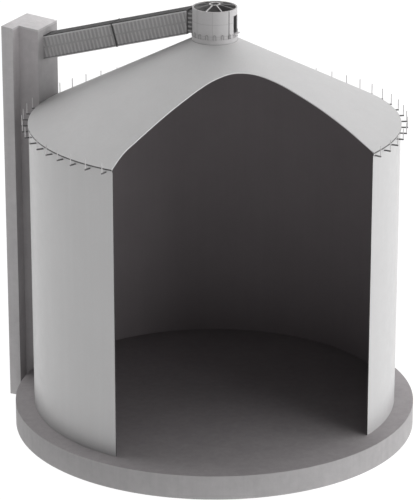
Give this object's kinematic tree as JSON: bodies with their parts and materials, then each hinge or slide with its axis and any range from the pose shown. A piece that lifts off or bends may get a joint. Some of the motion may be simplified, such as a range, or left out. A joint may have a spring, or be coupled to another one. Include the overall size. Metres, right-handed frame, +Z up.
{
  "type": "cutaway sugar silo, 1:2 scale model",
  "caption": "Round flat-floored sugar silo with a cone roof, cut open at the front, with an elevator tower, a sloping conveyor gallery and a round top house, as a 1:2 scale model",
  "frame": {"origin": "on the silo's axis, on the ground under the foundation slab", "axes": "+Z up, -Y towards the open front, +X to the right seen from the front"},
  "size_m": [22.1, 22.1, 23.758],
  "materials": {
    "slab_concrete": "cast concrete, smooth shuttered side, floated top",
    "tower_concrete": "painted cast concrete, matt",
    "shell_paint": "light grey painted steel plate, satin",
    "roof_paint": "light grey painted steel plate, satin",
    "eave_steel": "dark painted steel sections, satin",
    "trim_steel": "dark painted steel, satin",
    "gallery_sheet": "ribbed painted sheet, dark grey, matt",
    "gallery_roof_sheet": "painted sheet, near black, matt",
    "drum_paint": "mid grey painted steel sheet, satin"
  },
  "bodies": {
    "root": {"eave_ring_1": "eave_steel", "eave_ring_2": "eave_steel", "eave_ring_3": "eave_steel", "eave_ring_4": "eave_steel", "foundation_slab": "slab_concrete", "gallery_joint_frame": "trim_steel", "gallery_lower_floor": "gallery_sheet", "gallery_lower_left_wall": "gallery_sheet", "gallery_lower_right_wall": "gallery_sheet", "gallery_lower_roof": "gallery_roof_sheet", "gallery_neck": "trim_steel", "gallery_upper_floor": "gallery_sheet", "gallery_upper_left_wall": "gallery_sheet", "gallery_upper_right_wall": "gallery_sheet", "gallery_upper_roof": "gallery_roof_sheet", "roof_front_left": "roof_paint", "roof_front_right": "roof_paint", "roof_segment_1": "roof_paint", "roof_segment_2": "roof_paint", "roof_segment_3": "roof_paint", "roof_segment_4": "roof_paint", "roof_segment_5": "roof_paint", "roof_segment_6": "roof_paint", "roof_segment_7": "roof_paint", "shell_segment_1": "shell_paint", "shell_segment_2": "shell_paint", "shell_segment_3": "shell_paint", "shell_segment_4": "shell_paint", "shell_segment_5": "shell_paint", "shell_segment_6": "shell_paint", "shell_segment_7": "shell_paint", "top_house_base_ring": "drum_paint", "top_house_floor": "trim_steel", "top_house_roof_frame": "drum_paint", "top_house_wall_1": "drum_paint", "top_house_wall_2": "drum_paint", "top_house_wall_3": "drum_paint", "top_house_wall_4": "drum_paint", "tower_back_wall": "tower_concrete", "tower_front_wall": "tower_concrete", "tower_outer_wall": "tower_concrete", "tower_roof": "tower_concrete", "tower_silo_side_wall": "tower_concrete", "tower_wing_end_wall": "tower_concrete", "tower_wing_side_wall": "tower_concrete"}
  },
  "joints": []
}
